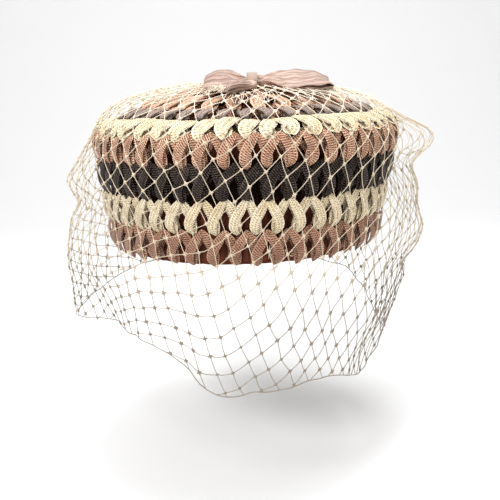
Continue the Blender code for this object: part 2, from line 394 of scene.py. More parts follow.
@dataclass(frozen=True)
class RibbonFinish:
    """Cross-ribbed woven ribbon with a soft shine, with painted highlights on its ribs and edges, painted
    shade between the ribs, painted top light over the crown rings and painted shade on the lowest row.
    """

    slot: BraidColour
    # body, then light for the painted highlights on the ribs and edges and shade for the painted shade
    # between the ribs
    body: Triple
    light: Triple
    shade: Triple
    roughness: float = 0.46
    width: float = 0.0056
    rib: float = 0.00140
    yarn: float = 0.00190
    slant: float = 0.35
    # how strongly the weave paints highlight and shade
    rib_light_contrast: float = 0.42
    gloss: float = 0.45
    relief: float = 0.0005
    # painted top light: the lighter colour the ribbon takes over the crown rings, and how much of it
    crown: Triple = (0.5, 0.4, 0.3)
    crown_light_share: float = 0.0
    # how much painted shade darkens the lowest row
    low_shade_share: float = 0.0

    def make(self) -> bpy.types.Material:
        """Build the material on the ribbon's own map, in metres across and along."""
        paint = Paint(self.slot.value + "_ribbon")
        across, along = paint.chart("ribbon")
        wobble = paint.clouds(900.0, 2.0) - 0.5
        ribs = (along + across * self.slant + wobble * (self.rib * 0.4)).wave(self.rib)
        yarns = (across + wobble * (self.yarn * 0.4)).wave(self.yarn)
        # the raised edges get a painted highlight and also stand out in relief
        selvage_rise_and_highlight = (across.size() * (2.0 / self.width)) ** 7.0
        weave = ribs * 0.55 + yarns * ribs * 0.45 + selvage_rise_and_highlight * 0.6
        # painted highlight and shade: the weave takes the colour towards light on the ribs and edges and
        # towards shade between them; the clouds vary the tone at random
        place = paint.clouds(120.0, 4.0) * 0.5 + weave * self.rib_light_contrast + 0.25
        stops = ((0.18, self.shade), (0.5, self.body), (0.82, self.light))
        tone = paint.add("ShaderNodeValToRGB", {0: place}, stops=stops)
        # painted shade on the lowest row
        side = paint.mix((1.0 - paint.rising(SHADED_ROW)) * self.low_shade_share, tone, self.shade)
        # painted top light over the crown rings
        colour = paint.mix(paint.rising(CROWN_RINGS_LIT) * self.crown_light_share, side, self.crown)
        roughness = weave * -0.08 + self.roughness
        return paint.finish(colour, roughness, weave, self.relief, Specular_IOR_Level=self.gloss)


@dataclass(frozen=True)
class SatinFinish:
    """Satin ribbon with fine pleats along its length, with painted sheen and shade along the pleats and
    painted light that makes it lighter at the knot.
    """

    body: Triple = (0.31, 0.19, 0.14)
    light: Triple = (0.52, 0.37, 0.29)
    shade: Triple = (0.14, 0.070, 0.050)
    roughness: float = 0.34
    pleat: float = 0.0042
    fine_pleat: float = 0.0017
    relief: float = 0.0004
    sheen: float = 0.2
    # where the painted light round the knot is centred, and how far it reaches
    knot_place: float = 0.0078
    knot_reach: float = 0.0045

    def make(self) -> bpy.types.Material:
        """Build the material."""
        paint = Paint("rose_satin_ribbon")
        across = paint.chart("ribbon")[0]
        drift = paint.clouds(60.0)
        # painted light lightens the satin round the knot, whose upright face gets less light than the loops
        off_knot = (paint.axis(0) - self.knot_place).size() / self.knot_reach
        knot_painted_light = 1.0 - off_knot.at_most(1.0)
        # painted sheen and shade in streaks along the pleats, which also stand out in relief
        wide = (across + drift * 0.004).wave(self.pleat) * 0.5
        pleats_and_sheen = wide + (across + drift * 0.003).wave(self.fine_pleat) * 0.25
        place = pleats_and_sheen * 0.26 + drift + knot_painted_light * 0.45
        stops = ((0.22, self.shade), (0.5, self.body), (0.8, self.light))
        tone = paint.add("ShaderNodeValToRGB", {0: place}, stops=stops)
        return paint.finish(tone, drift * 0.1 + self.roughness, pleats_and_sheen, self.relief, Sheen_Weight=self.sheen)


@dataclass(frozen=True)
class CapFinish:
    """Stiffened brown cloth with darker stripes up the wall, with painted shade that makes it dark behind the
    brown rows and painted light that makes it lighter tan on the crown.
    """

    body: Triple = (0.17, 0.046, 0.024)
    # the stripes' colour, also used for the painted shade behind the brown rows
    stripe: Triple = (0.012, 0.0045, 0.0035)
    # painted light: the cloth's lighter colour over the crown
    top: Triple = (0.50, 0.26, 0.16)
    roughness: float = 0.7
    stripe_width: float = 0.0062
    yarn: float = 0.0008
    relief: float = 0.00012
    gloss: float = 0.1
    # where the painted shade behind the side's and the crown's brown rows sits, and how far it reaches
    side_middle: float = 0.0485
    side_reach: float = 0.017
    crown_middle: float = 0.0770
    crown_reach: float = 0.0050

    def make(self) -> bpy.types.Material:
        """Build the material."""
        paint = Paint("cap_cloth_weave")
        round_it, up = paint.chart("cloth")
        drift = paint.clouds(40.0)
        stripes = (round_it + drift * 0.004).wave(self.stripe_width) * 0.5 + 0.5
        height = paint.axis(2)
        off_side = (height - self.side_middle).size() / self.side_reach
        off_crown = (height - self.crown_middle).size() / self.crown_reach
        # painted shade behind the brown rows, so their gaps read dark
        shade_behind_brown = 1.0 - off_side.at_most(off_crown).at_most(1.0)
        # painted light: the cloth turns lighter over the crown, where its stripes stop
        lit_crown_cloth = paint.rising(CROWN_CLOTH_LIT)
        share = (stripes * drift * (1.0 - lit_crown_cloth) + shade_behind_brown * 1.6).at_most(1.0)
        colour = paint.mix(share, paint.mix(lit_crown_cloth, self.body, self.top), self.stripe)
        weave = round_it.wave(self.yarn) * up.wave(self.yarn)
        roughness = drift * 0.2 + self.roughness
        return paint.finish(colour, roughness, weave, self.relief, Specular_IOR_Level=self.gloss)


@dataclass(frozen=True)
class NetFinish:
    """Beige net thread with a fuzzy twist, with painted light that makes it paler on the crown and painted
    shade that makes it darker below the rim.
    """

    body: Triple = (0.42, 0.33, 0.22)
    light: Triple = (0.70, 0.59, 0.43)
    # painted shade: the thread's colours below the rim
    shaded_body: Triple = (0.15, 0.115, 0.075)
    shaded_pale: Triple = (0.34, 0.28, 0.205)
    # painted light: the thread's colours over the crown
    lit_body: Triple = (0.60, 0.49, 0.36)
    lit_pale: Triple = (0.92, 0.84, 0.70)
    roughness: float = 0.75
    relief: float = 0.0002
    sheen: float = 0.3

    def make(self) -> bpy.types.Material:
        """Build the material."""
        paint = Paint("veil_thread")
        fuzz = paint.clouds(2200.0)
        share = fuzz * 0.6 + paint.clouds(90.0) * 0.5
        side = paint.mix(share, self.body, self.light)
        # the thread's colours with painted shade below the rim and with painted light over the crown
        below = paint.mix(share, self.shaded_body, self.shaded_pale)
        crown = paint.mix(share, self.lit_body, self.lit_pale)
        # painted shade darkens the thread below the rim
        colour = paint.mix(paint.rising(VEIL_SHADED_BELOW_RIM), below, side)
        # painted light makes the thread paler over the crown
        colour = paint.mix(paint.rising(VEIL_LIT_ON_CROWN), colour, crown)
        return paint.finish(colour, fuzz * 0.2 + self.roughness, fuzz, self.relief, Sheen_Weight=self.sheen)


@dataclass(frozen=True)
class FloorFinish:
    """Plain pale floor."""

    colour: Triple = (0.86, 0.86, 0.86)
    shade: Triple = (0.8, 0.8, 0.8)
    roughness: float = 0.9

    def make(self) -> bpy.types.Material:
        """Build the material."""
        paint = Paint("pale_floor")
        tone = paint.clouds(3.0) * 0.02 + 0.98
        return paint.finish(paint.mix(tone, self.shade, self.colour), self.roughness)


def blend(first: Sequence[float], second: Sequence[float], share: float) -> tuple[float, ...]:
    """The row of numbers a share of the way from one to another."""
    return tuple(a + (b - a) * share for a, b in zip(first, second))


def eased(value: float, low: float, high: float) -> float:
    """A share that eases from 0 to 1 between two values."""
    share = min(max((value - low) / (high - low), 0.0), 1.0)
    return share * share * (3.0 - 2.0 * share)


def smooth_through(points: Sequence[Sequence[float]], place: float, closed: bool) -> tuple[float, ...]:
    """A smooth curve through rows of numbers.

    Args:
        points: the rows the curve passes through.
        place: which row, with its fraction.
        closed: whether the last row is followed by the first.

    Returns:
        The row of numbers at that place.
    """
    count = len(points)
    index = math.floor(place)
    t = place - index
    rows = []
    for at in range(index - 1, index + 3):
        rows.append(points[at % count] if closed else points[min(max(at, 0), count - 1)])
    result = []
    for a, b, c, d in zip(*rows):
        bend = 2 * b + (c - a) * t + (2 * a - 5 * b + 4 * c - d) * t * t + (3 * b - a - 3 * c + d) * t**3
        result.append(bend / 2)
    return tuple(result)


def fine_line(line: Sequence[Pair], each: int) -> tuple[list[tuple[float, ...]], list[float]]:
    """Follow a smooth curve.

    Args:
        line: the points that it passes through.
        each: how many steps it takes from one to the next.

    Returns:
        Its points, and the length of the curve up to each of them.
    """
    fine = [smooth_through(line, i / each, False) for i in range(each * (len(line) - 1) + 1)]
    runs = [0.0]
    for start, end in zip(fine, fine[1:]):
        runs.append(runs[-1] + math.dist(start, end))
    return fine, runs


@dataclass
class HatForm:
    """The hat's driving sizes, in metres, and the places that follow from them."""

    crown_radius: float
    crown_height: float
    oval: float = 1.04
    lean: float = 0.038
    braid_thick: float = 0.0085

    @classmethod
    def from_frame(cls) -> "HatForm":
        """Read the crown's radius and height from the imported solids."""
        low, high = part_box("side_row_tan_high")
        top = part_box("crown_centre")[1]
        widest_share = 0.9947
        pole_sink = cls.braid_thick * 0.05
        return cls((high.x - low.x) / 2.0 / widest_share, (top.z + pole_sink) / PROFILE[-1][1])

    def place(self, radius: float, height: float, angle: float) -> Vector:
        """A point at a radius, a height and an angle about +Z."""
        x = radius * math.cos(angle) + self.lean * height
        return Vector((x, radius * self.oval * math.sin(angle), height))

    def profile(self, depth: float = 0.0) -> list[Pair]:
        """The braid's outer profile, moved inwards with mitred corners.

        Args:
            depth: how far it is moved, in metres.

        Returns:
            Radius and height from the rim to the crown's middle.
        """
        points = [(r * self.crown_radius, z * self.crown_height) for r, z in PROFILE]
        steps = []
        for start, end in zip(points, points[1:]):
            run = math.dist(start, end)
            steps.append(((end[0] - start[0]) / run, (end[1] - start[1]) / run))
        far_side = (steps[-1][0], -steps[-1][1])
        moved = []
        for (radius, height), before, after in zip(points, [steps[0]] + steps, steps + [far_side]):
            along = (before[0] + after[0], before[1] + after[1])
            size = math.hypot(*along)
            along = (along[0] / size, along[1] / size)
            spread = depth / (along[0] * after[0] + along[1] * after[1])
            moved.append((radius - along[1] * spread, height + along[0] * spread))
        return moved


def add_object(name: str, data: Any) -> bpy.types.Object:
    """Put an object in the scene."""
    item = bpy.data.objects.new(name, data)
    bpy.context.scene.collection.objects.link(item)
    return item


def add_face(tool: bmesh.types.BMesh, chart: Any, corners: Sequence[Any], spots: Sequence[Pair]) -> None:
    """Add a face with its places on the chart.

    Args:
        tool: the bmesh.
        chart: its layer for the piece's own map.
        corners: the face's vertices.
        spots: their places on the map, in metres.
    """
    for loop, spot in zip(tool.faces.new(corners).loops, spots):
        loop[chart].uv = spot


def mesh_piece(
    name: str, tool: bmesh.types.BMesh, material: bpy.types.Material, wall: float = 0.0
) -> bpy.types.Object:
    """Turn a bmesh into a smooth piece with one material.

    Args:
        name: the piece's name.
        tool: the bmesh, freed afterwards.
        material: its material.
        wall: how thick a wall it gets, in metres, if any.

    Returns:
        The piece.
    """
    mesh = bpy.data.meshes.new(name)
    tool.to_mesh(mesh)
    tool.free()
    mesh.polygons.foreach_set("use_smooth", [True] * len(mesh.polygons))
    mesh.materials.append(material)
    piece = add_object(name, mesh)
    if wall:
        solid = piece.modifiers.new("thickness", "SOLIDIFY")
        solid.thickness = wall
        solid.offset = 0.0
    return piece


def settle(piece: bpy.types.Object, slot: str, *nodes: str) -> None:
    """Ride a finished piece on the hat.

    Args:
        piece: the piece.
        slot: its material slot in the record; not used.
        nodes: the solids that it stands for, if any.
    """
    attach(piece, "root")
    if nodes:
        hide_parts(*nodes)
    LOG.info("%s: %d faces", piece.name, len(piece.data.polygons))


class Wires:
    """Wires with named values on their points, for a geometry tree to follow."""

    def __init__(self, **defaults: Any) -> None:
        """Name the values, each with its default."""
        self.defaults = defaults
        self.points: list[Vector] = []
        self.edges: list[tuple[int, int]] = []
        self.columns: dict[str, list[Any]] = {name: [] for name in defaults}

    def add(self, points: Sequence[Vector], closed: bool = False, **values: Any) -> None:
        """Add a wire.

        Args:
            points: its points, or one point that stands alone.
            closed: whether the last point joins the first.
            values: a list with a value for each point, or one value for all.
        """
        first, count = len(self.points), len(points)
        self.points.extend(points)
        self.edges.extend((first + i, first + (i + 1) % count) for i in range(count if closed else count - 1))
        for name, default in self.defaults.items():
            value = values.get(name, default)
            self.columns[name].extend(value if isinstance(value, list) else [value] * count)

    def guide(self, name: str) -> bpy.types.Object:
        """The wires as a mesh object."""
        mesh = bpy.data.meshes.new(name)
        mesh.from_pydata([tuple(point) for point in self.points], self.edges, [])
        for label, column in self.columns.items():
            if isinstance(column[0], float):
                mesh.attributes.new(label, "FLOAT", "POINT").data.foreach_set("value", column)
            else:
                flat = [value for row in column for value in row]
                mesh.attributes.new(label, "FLOAT_VECTOR", "POINT").data.foreach_set("vector", flat)
        return add_object(name, mesh)


class GrowTree(Loom):
    """A geometry tree that grows a piece on a guide."""

    def __init__(self, name: str, numbers: Sequence[str]) -> None:
        """Start the tree with its named number inputs."""
        super().__init__(bpy.data.node_groups.new(name, "GeometryNodeTree"))
        face = self.tree.interface
        floats = [(number, "Float") for number in numbers]
        for label, kind in (("Geometry", "Geometry"), *floats, ("Material", "Material")):
            face.new_socket(label, in_out="INPUT", socket_type="NodeSocket" + kind)
        face.new_socket("Geometry", in_out="OUTPUT", socket_type="NodeSocketGeometry")
        self.source = self.add("NodeGroupInput")

    def value(self, name: str, data_type: str = "FLOAT") -> Signal:
        """A named value of the guide's points."""
        return self.signal(self.add("GeometryNodeInputNamedAttribute", {"Name": name}, data_type=data_type))

    def capture(self, geometry: bpy.types.Node, name: str, value: Any) -> bpy.types.Node:
        """Keep a number on the geometry under a name."""
        return self.add("GeometryNodeCaptureAttribute", {"Geometry": geometry, name: value}, capture=name)

    def end(self, geometry: bpy.types.Node) -> None:
        """Realize the instances, set the material and close the tree."""
        real = self.add("GeometryNodeRealizeInstances", {"Geometry": geometry})
        sockets = {"Geometry": real, "Material": self.source.outputs["Material"]}
        self.add("NodeGroupOutput", {"Geometry": self.add("GeometryNodeSetMaterial", sockets)})

    def grow(self, name: str, guide: bpy.types.Object, values: dict[str, Any]) -> bpy.types.Object:
        """Run the tree on a guide and keep the result as a plain mesh.

        Args:
            name: the piece's name.
            guide: the object that holds the guide mesh, removed afterwards.
            values: the tree's inputs by name.

        Returns:
            The piece, with no modifier left.
        """
        modifier = guide.modifiers.new("grow", "NODES")
        modifier.node_group = self.tree
        for item in self.tree.interface.items_tree:
            if item.item_type == "SOCKET" and item.in_out == "INPUT" and item.name in values:
                modifier[item.identifier] = values[item.name]
        guide.update_tag()
        depsgraph = bpy.context.evaluated_depsgraph_get()
        mesh = bpy.data.meshes.new_from_object(
            guide.evaluated_get(depsgraph), preserve_all_data_layers=True, depsgraph=depsgraph
        )
        mesh.name = name
        guide.modifiers.remove(modifier)
        old = guide.data
        bpy.data.objects.remove(guide)
        bpy.data.meshes.remove(old)
        return add_object(name, mesh)


class RibbonTree(GrowTree):
    """Sweeps a flat ribbon along a guide, with its own map in metres."""

    chart_width = 0.0056
    sharp_angle = 0.7

    def __init__(self) -> None:
        """Build the tree once."""
        super().__init__("ribbon_on_guide", ("Width", "Thickness", "Cup"))
        width = self.signal(self.source, "Width")
        wires = self.add("GeometryNodeMeshToCurve", {"Mesh": self.source})
        sockets = {"Curve": wires, "Normal": self.value("outwards", "FLOAT_VECTOR")}
        faced = self.add("GeometryNodeSetCurveNormal", sockets, mode="FREE")
        run = self.capture(faced, "Along", self.add("GeometryNodeSplineParameter").outputs["Length"])
        sockets = {"Width": self.source.outputs["Thickness"], "Height": width}
        outline = self.add("GeometryNodeCurvePrimitiveQuadrilateral", sockets)
        finer = self.add("GeometryNodeSubdivideCurve", {"Curve": outline, "Cuts": 2})
        split = self.add("ShaderNodeSeparateXYZ", {0: self.add("GeometryNodeInputPosition")})
        share = self.signal(split, 1) / width
        lift = (1.0 - share * share * 4.0) * self.signal(self.source, "Cup")
        sockets = {"Geometry": finer, "Offset": self.add("ShaderNodeCombineXYZ", {0: lift})}
        cupped = self.add("GeometryNodeSetPosition", sockets)
        side = self.capture(cupped, "Across", share * self.chart_width)
        sockets = {"Curve": run, "Profile Curve": side, "Scale": self.value("spread")}
        swept = self.add("GeometryNodeCurveToMesh", sockets)
        chart = self.add("ShaderNodeCombineXYZ", {0: side.outputs["Across"], 1: run.outputs["Along"]})
        sockets = {"Geometry": swept, "Name": "ribbon", "Value": chart}
        charted = self.add("GeometryNodeStoreNamedAttribute", sockets, data_type="FLOAT2", domain="CORNER")
        smooth = self.add("GeometryNodeSetShadeSmooth", {"Geometry": charted})
        angle = self.signal(self.add("GeometryNodeInputMeshEdgeAngle"))
        corner = angle.math("GREATER_THAN", self.sharp_angle)
        sockets = {"Geometry": smooth, "Selection": corner, "Shade Smooth": False}
        self.end(self.add("GeometryNodeSetShadeSmooth", sockets, domain="EDGE"))


@dataclass
class BraidRow:
    """One row of ribbon braid: a flat ribbon wound in zigzag loops round the hat.

    The front and back windings each have a swing, a depth, a puff and a spread, as wind says. The
    bends say how far a leg in front or behind has gone sideways on its way from tip to tip.
    """

    node: str
    index: int
    loops: int
    colour: BraidColour
    seed: int
    ribbon: float = 0.0056
    thickness: float = 0.0004
    cup: float = 0.0006
    steps: int = 24
    pointed: float = 0.95
    rounded: float = 0.08
    pinch: float = 0.55
    tuck: float = 0.16
    roll: float = 50.0
    turn_at: float = -82.0
    turn_sharpness: float = 40.0
    front_bend: Triple = (0.7175, 1.374, 1.671)
    back_bend: Pair = (1.276, 0.696)
    front: tuple[float, float, float, float] = (0.56, 0.20, 0.16, 1.0)
    back: tuple[float, float, float, float] = (0.46, 0.66, -0.12, 0.72)
    uneven: float = 0.06

    def wind(
        self, form: HatForm, swing: float, deep: float, puff: float, full: float
    ) -> tuple[list[Vector], list[Vector], list[float]]:
        """One closed winding of the ribbon.

        Args:
            form: the hat's sizes.
            swing: how far the loops reach to each side of the row's middle, as a share.
            deep: how far into the braid's thickness the winding is centred, as a share.
            puff: half the winding's depth, as a share of the braid's thickness.
            full: the ribbon's spread between the tips.

        Returns:
            Points, outward directions of the ribbon's face, and its spread at each point.
        """
        outer = form.profile()
        inner = form.profile(form.braid_thick)
        rng = random.Random(self.seed * 31 + round(deep * 100))
        swings = [swing * rng.uniform(0.95 - self.uneven * 0.4, 1.05) for _ in range(self.loops)]
        deeps = [rng.uniform(-0.06, self.uneven) for _ in range(self.loops)]
        slips = [rng.uniform(-0.08, 0.08) for _ in range(self.loops)]

        def at(along: float, inwards: float, angle: float) -> Vector:
            """The point at shares of the row's height and of the braid's thickness."""
            face = blend(outer[self.index], outer[self.index + 1], along)
            back = blend(inner[self.index], inner[self.index + 1], along)
            radius, height = blend(face, back, inwards)
            return form.place(radius, height, angle)

        points, outwards, spreads = [], [], []
        step_along = 0.02
        turn_loop = round((self.turn_at - 90.0) / 360.0 * self.loops - 0.5) + 0.5
        turn_angle = math.pi / 2.0 + math.tau * turn_loop / self.loops
        front_first, front_second, front_third = self.front_bend
        back_first, back_second = self.back_bend
        for step in range(self.loops * self.steps):
            loop, part = divmod(step, self.steps)
            part = part / self.steps
            following = (loop + 1) % self.loops
            ease = part * part * (3.0 - 2.0 * part)
            this_swing = swings[loop] + (swings[following] - swings[loop]) * ease
            this_deep = deeps[loop] + (deeps[following] - deeps[loop]) * ease
            slip = slips[loop] + (slips[following] - slips[loop]) * ease
            phase = math.tau * part
            rise = -math.asin(self.pointed * math.cos(phase)) / math.asin(self.pointed)
            side = math.copysign(1.0, part - 0.5)
            rough_angle = math.pi / 2.0 + math.tau * (loop + part) / self.loops
            hand = -math.tanh(self.turn_sharpness * math.sin(rough_angle - turn_angle))
            drop = (1.0 - rise) / 2.0
            front = drop * (front_first + drop * (front_second - front_third * drop))
            behind = drop * (back_first - back_second * drop)
            reach = behind + (front - behind) * (1.0 - hand * side) / 2.0
            across = self.rounded * part + (1.0 - self.rounded) * (0.5 + side * reach)
            angle = math.pi / 2.0 + math.tau * (loop + across + slip) / self.loops
            tip = abs(math.cos(phase)) ** 5
            along = 0.5 + this_swing * rise
            inwards = deep + this_deep - puff * hand * math.sin(phase) + self.tuck * tip
            point = at(along, inwards, angle)
            up = (at(along + step_along, inwards, angle) - point).normalized()
            face = (at(along, inwards - step_along, angle) - point).normalized()
            lean = math.radians(self.roll) * rise * abs(rise)
            points.append(point)
            outwards.append(face * math.cos(lean) + up * math.sin(lean))
            spreads.append(full * (1.0 - self.pinch * tip))
        return points, outwards, spreads

    def make(self, form: HatForm, tree: RibbonTree, material: bpy.types.Material) -> None:
        """Build the row's piece."""
        wires = Wires(outwards=Vector(), spread=1.0)
        for winding in (self.front, self.back):
            points, outwards, spreads = self.wind(form, *winding)
            wires.add(points, closed=True, outwards=outwards, spread=spreads)
        faces = wires.columns["outwards"]
        for index, point in enumerate(wires.points):
            after = wires.points[(index + 1) % len(wires.points)]
            tangent = (after - point).normalized()
            faces[index] = (faces[index] - tangent * faces[index].dot(tangent)).normalized()
        values = {"Width": self.ribbon, "Thickness": self.thickness, "Cup": self.cup, "Material": material}
        piece = tree.grow(self.node + "_braid", wires.guide(self.node + "_guide"), values)
        settle(piece, self.colour.value, self.node)


@dataclass
class ClothCap:
    """The stiffened cloth cap under the braid, with a bound rim."""

    clearance: float = 0.0008
    thickness: float = 0.0015
    segments: int = 144
    binding: float = 0.0012
    binding_sides: int = 10
    ripple: float = 0.00015
    ripples: float = 61.0
    levels: tuple[int, ...] = (2, 4, 5, 7, 9)

    def make(self, form: HatForm, material: bpy.types.Material) -> None:
        """Build the cap and its binding."""
        line = form.profile(form.braid_thick + self.clearance + self.thickness / 2.0)
        fine, runs = fine_line([(line[0][0], self.binding)] + [line[i] for i in self.levels], 4)
        tool = bmesh.new()
        chart = tool.loops.layers.uv.new("cloth")
        rings = [
            [tool.verts.new(form.place(r, z, math.tau * s / self.segments)) for s in range(self.segments)]
            for r, z in fine[:-1]
        ]
        pole = tool.verts.new(form.place(0.0, fine[-1][1], 0.0))
        girth = math.tau * form.crown_radius / self.segments
        for level, ring in enumerate(rings):
            low, high = runs[level], runs[level + 1]
            for s in range(self.segments):
                t = (s + 1) % self.segments
                left, right = s * girth, (s + 1) * girth
                if level + 1 < len(rings):
                    corners = [ring[s], ring[t], rings[level + 1][t], rings[level + 1][s]]
                    spots = [(left, low), (right, low), (right, high), (left, high)]
                else:
                    corners = [ring[s], ring[t], pole]
                    spots = [(left, low), (right, low), ((s + 0.5) * girth, high)]
                add_face(tool, chart, corners, spots)
        area = sum(face.calc_area() for face in tool.faces)
        cap = mesh_piece("cap_shell", tool, material, self.thickness)
        settle(cap, "cap_cloth", "foundation_cap")
        side = math.sqrt(area / 0.8)
        self.bind(form, line[0][0], material)

    def bind(self, form: HatForm, radius: float, material: bpy.types.Material) -> None:
        """Build the bound edge round the rim.

        Args:
            form: the hat's sizes.
            radius: the radius of the cap's wall at the rim, in metres.
            material: the cap's cloth.
        """
        tool = bmesh.new()
        chart = tool.loops.layers.uv.new("cloth")
        sides = self.binding_sides
        rings = []
        for s in range(self.segments):
            angle = math.tau * s / self.segments
            ripple = self.ripple * math.sin(angle * self.ripples)
            ring = []
            for side in range(sides):
                turn = math.tau * side / sides
                r = radius + (self.thickness * 0.62 + ripple) * math.cos(turn)
                z = self.binding + (self.binding + ripple) * math.sin(turn)
                ring.append(tool.verts.new(form.place(r, z, angle)))
            rings.append(ring)
        step_round, step_across = 0.004, 0.0008
        for s, ring in enumerate(rings):
            after = rings[(s + 1) % self.segments]
            left, right = s * step_round, (s + 1) * step_round
            for side in range(sides):
                other = (side + 1) % sides
                low, high = side * step_across, (side + 1) * step_across
                spots = ((left, low), (right, low), (right, high), (left, high))
                add_face(tool, chart, [ring[side], after[side], after[other], ring[other]], spots)
        bmesh.ops.recalc_face_normals(tool, faces=tool.faces)
        settle(mesh_piece("rim_binding", tool, material), "cap_cloth")


@dataclass
class SatinBow:
    """The flat satin bow: two loops, a short folded end and the knot."""

    width: float = 0.0785
    middle: Triple = (0.0078, -0.040, 0.1034)
    flatten: float = 0.5
    crest_tilt: float = 3.0
    knot_lift: float = 0.0016
    ribbon: float = 0.036
    thickness: float = 0.0006
    pleat: float = 0.0011
    crumple: float = 0.0021
    tilt: float = 0.14
    tail_tilt: float = 0.20
    tail_forward: float = 0.01924
    tail_slant: float = 0.85
    columns: int = 18
    steps_each: int = 6

    def band(
        self,
        name: str,
        node: str,
        rows: Surface,
        places: int,
        flat_width: float,
        material: bpy.types.Material,
    ) -> None:
        """One closed band of ribbon.

        Args:
            name: the piece's name.
            node: the solid that it stands for.
            rows: gives a point from the place along the path and the share across it.
            places: how many rows the path's table has.
            flat_width: the ribbon's width when it lies flat; not used.
            material: the satin.
        """
        steps = places * self.steps_each
        tool = bmesh.new()
        chart = tool.loops.layers.uv.new("ribbon")
        shares = [c / self.columns - 0.5 for c in range(self.columns + 1)]
        grid = []
        for step in range(steps):
            place = step / self.steps_each
            grid.append([tool.verts.new(rows(place, share)) for share in shares])
        length = 0.0
        middle = self.columns // 2
        for step in range(steps):
            here, after = grid[step], grid[(step + 1) % steps]
            run = (after[middle].co - here[middle].co).length
            for c in range(self.columns):
                left, right = c / self.columns * self.ribbon, (c + 1) / self.columns * self.ribbon
                spots = ((left, length), (right, length), (right, length + run), (left, length + run))
                add_face(tool, chart, [here[c], here[c + 1], after[c + 1], after[c]], spots)
            length += run
        bmesh.ops.recalc_face_normals(tool, faces=tool.faces)
        area = sum(face.calc_area() for face in tool.faces)
        piece = mesh_piece(name, tool, material, self.thickness)
        settle(piece, "rose_satin", node)

    def loop(
        self, table: Sequence[Triple], seed: float, tilt: float, forward: float = 0.0, slant: float = 0.0
    ) -> Surface:
        """The surface of one loop of the bow.

        Args:
            table: the ribbon's path.
            seed: sets its pleats and waves apart from the others'.
            tilt: how much the ribbon rises from front to back.
            forward: how far in front of the bow's middle it lies, in metres.
            slant: how far it comes forward on its way out, as a share of its reach.

        Returns:
            The surface, as a point for a place along the path and a share across it.
        """
        x0, y0, z0 = self.middle

        def point(place: float, share: float) -> Vector:
            """The point at a place along the ribbon's path and a share across it."""
            reach, rise, spread = smooth_through(table, place, True)
            across = share * spread * self.ribbon
            gathers = 1.0 - spread
            pleat = self.pleat * math.sin(share * 17.0 + reach * 5.0 + seed) * (0.4 + gathers)
            wave = self.crumple * noise.noise(Vector((reach * 9.0, share * 3.4, seed)))
            y = y0 - forward - slant * abs(reach) * self.width + across
            over = tilt + self.crest_tilt * max(rise + 0.01, 0.0)
            z = z0 + rise * self.width * self.flatten + over * across + pleat + wave
            return Vector((x0 + reach * self.width, y, z))

        return point

    def knot(self) -> Surface:
        """The surface of the band round the bow's middle."""
        x0, y0, z0 = self.middle
        half_depth = self.ribbon * 0.31
        half_height = self.width * 0.041
        knot_width = self.width * 0.080

        def point(place: float, share: float) -> Vector:
            """The point at a place round the knot and a share across it."""
            depth, height = smooth_through(KNOT_RING, place, True)
            swell = 1.0 - 0.24 * share * share
            pleat = 1.0 + 0.035 * math.sin(share * 22.0)
            y = depth * half_depth * swell
            z = height * half_height * swell * pleat + self.tilt * y + self.knot_lift
            return Vector((x0 + share * knot_width, y0 + y, z0 + z))

        return point

    def make(self, material: bpy.types.Material) -> None:
        """Build the bow's pieces."""
        left = self.loop(LEFT_LOOP, 1.3, self.tilt)
        right = self.loop(RIGHT_LOOP, 4.1, self.tilt)
        tail = self.loop(TAIL_LOOP, 2.2, self.tail_tilt, self.tail_forward, self.tail_slant)
        for name, node, rows, table, flat_width in (
            ("satin_loop_left", "bow_loop_left", left, LEFT_LOOP, self.ribbon),
            ("satin_loop_right", "bow_loop_right", right, RIGHT_LOOP, self.ribbon),
            ("satin_tail", "bow_tail", tail, TAIL_LOOP, self.ribbon),
            ("satin_knot", "bow_knot", self.knot(), KNOT_RING, self.ribbon / 2.0),
        ):
            self.band(name, node, rows, len(table), flat_width, material)


class NetTree(GrowTree):
    """Lays thread on a guide and ties a knot at each crossing."""

    thread_sides = 5
    knot_arm = (1.75, 0.72, 0.78)

    def __init__(self) -> None:
        """Build the tree once."""
        super().__init__("net_on_guide", ("Thread", "Knot"))
        wires = self.add("GeometryNodeMeshToCurve", {"Mesh": self.source})
        sockets = {"Resolution": self.thread_sides, "Radius": self.signal(self.source, "Thread") * 0.5}
        ring = self.add("GeometryNodeCurvePrimitiveCircle", sockets)
        sockets = {"Curve": wires, "Profile Curve": ring, "Scale": self.value("spread")}
        threads = self.add("GeometryNodeCurveToMesh", sockets)
        bead = self.add("GeometryNodeMeshIcoSphere", {"Radius": 0.5, "Subdivisions": 1})
        bundle = self.add("GeometryNodeJoinGeometry")
        for turn in (0.0, math.pi / 2.0):
            sockets = {"Geometry": bead, "Scale": self.knot_arm, "Rotation": (0.0, 0.0, turn)}
            self.feed(bundle.inputs[0], self.add("GeometryNodeTransform", sockets))
        outwards, heading = self.value("outwards", "FLOAT_VECTOR"), self.value("heading", "FLOAT_VECTOR")
        sockets = {"Primary Axis": outwards, "Secondary Axis": heading}
        turned = self.add("FunctionNodeAxesToRotation", sockets, primary_axis="Z", secondary_axis="X")
        knot = self.value("knot")
        sockets = {
            "Points": self.source,
            "Selection": knot.math("GREATER_THAN", 0.01),
            "Instance": bundle,
            "Rotation": turned,
            "Scale": knot * self.signal(self.source, "Knot"),
        }
        tied = self.add("GeometryNodeInstanceOnPoints", sockets)
        both = self.add("GeometryNodeJoinGeometry")
        self.feed(both.inputs[0], threads)
        self.feed(both.inputs[0], tied)
        self.end(self.add("GeometryNodeSetShadeSmooth", {"Geometry": both}))


